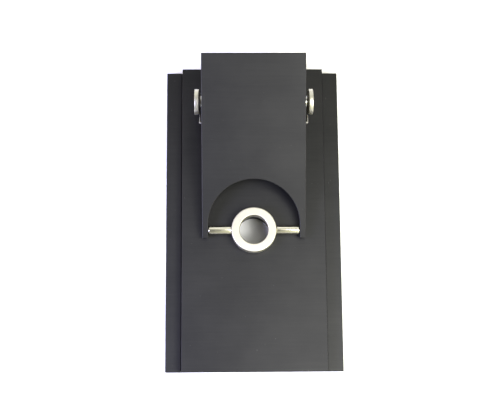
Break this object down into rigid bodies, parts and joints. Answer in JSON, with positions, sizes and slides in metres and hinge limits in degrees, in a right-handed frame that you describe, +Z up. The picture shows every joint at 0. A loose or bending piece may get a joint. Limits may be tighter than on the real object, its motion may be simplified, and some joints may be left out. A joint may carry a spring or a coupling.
{
  "type": "watch movement holder",
  "caption": "Spring-loaded bench clamp: a T-section base with a work hole, and a hinged lever that presses a self-aligning ring over it.",
  "frame": {"origin": "centre of the base's underside", "axes": "+X to the right, +Y to the rear (the end the lever is pressed at), +Z up"},
  "size_m": [0.06, 0.1044, 0.03],
  "materials": {
    "anodised_aluminium": "black anodised, finely brushed across",
    "plated_ring": "satin nickel plating",
    "polished_steel": "turned and polished",
    "nickel_plated_steel": "bright nickel plating",
    "spring_steel": "drawn wire",
    "blackened_steel": "black oxide",
    "bronze": "turned bearing bronze"
  },
  "bodies": {
    "base": {"base_plate": "anodised_aluminium", "hinge_post_left": "anodised_aluminium", "hinge_post_right": "anodised_aluminium", "post_screw_left_front": "blackened_steel", "post_screw_left_rear": "blackened_steel", "post_screw_right_front": "blackened_steel", "post_screw_right_rear": "blackened_steel", "axle": "nickel_plated_steel", "axle_grub_screw": "blackened_steel", "axle_cap_left": "nickel_plated_steel", "axle_cap_right": "nickel_plated_steel", "torsion_spring_left": "spring_steel", "torsion_spring_right": "spring_steel"},
    "lever": {"lever_plate": "anodised_aluminium", "bearing_block": "anodised_aluminium", "block_screw_left_front": "blackened_steel", "block_screw_left_rear": "blackened_steel", "block_screw_right_front": "blackened_steel", "block_screw_right_rear": "blackened_steel", "axle_bush_left": "bronze", "axle_bush_right": "bronze"},
    "ring": {"pressure_ring": "plated_ring", "ring_pin_left": "nickel_plated_steel", "ring_pin_right": "nickel_plated_steel", "ring_sleeve_left": "polished_steel", "ring_sleeve_right": "polished_steel"}
  },
  "joints": [
    {"name": "lever_tilt", "type": "hinge", "parent": "base", "child": "lever", "pos_m": [0, 0.0382, 0.017], "axis": [-1, 0, 0], "range_deg": [0, 20], "stiffness_Nm_per_rad": 0.36, "springref_deg": -6.02, "deforming": ["torsion_spring_left", "torsion_spring_right"]},
    {"name": "ring_pivot", "type": "hinge", "parent": "lever", "child": "ring", "pos_m": [0, -0.0051, 0.01209], "axis": [-1, 0, 0], "range_deg": [-20, 0]}
  ],
  "couplings": [
    {"joint": "ring_pivot", "follows": "lever_tilt", "ratio": -1}
  ]
}
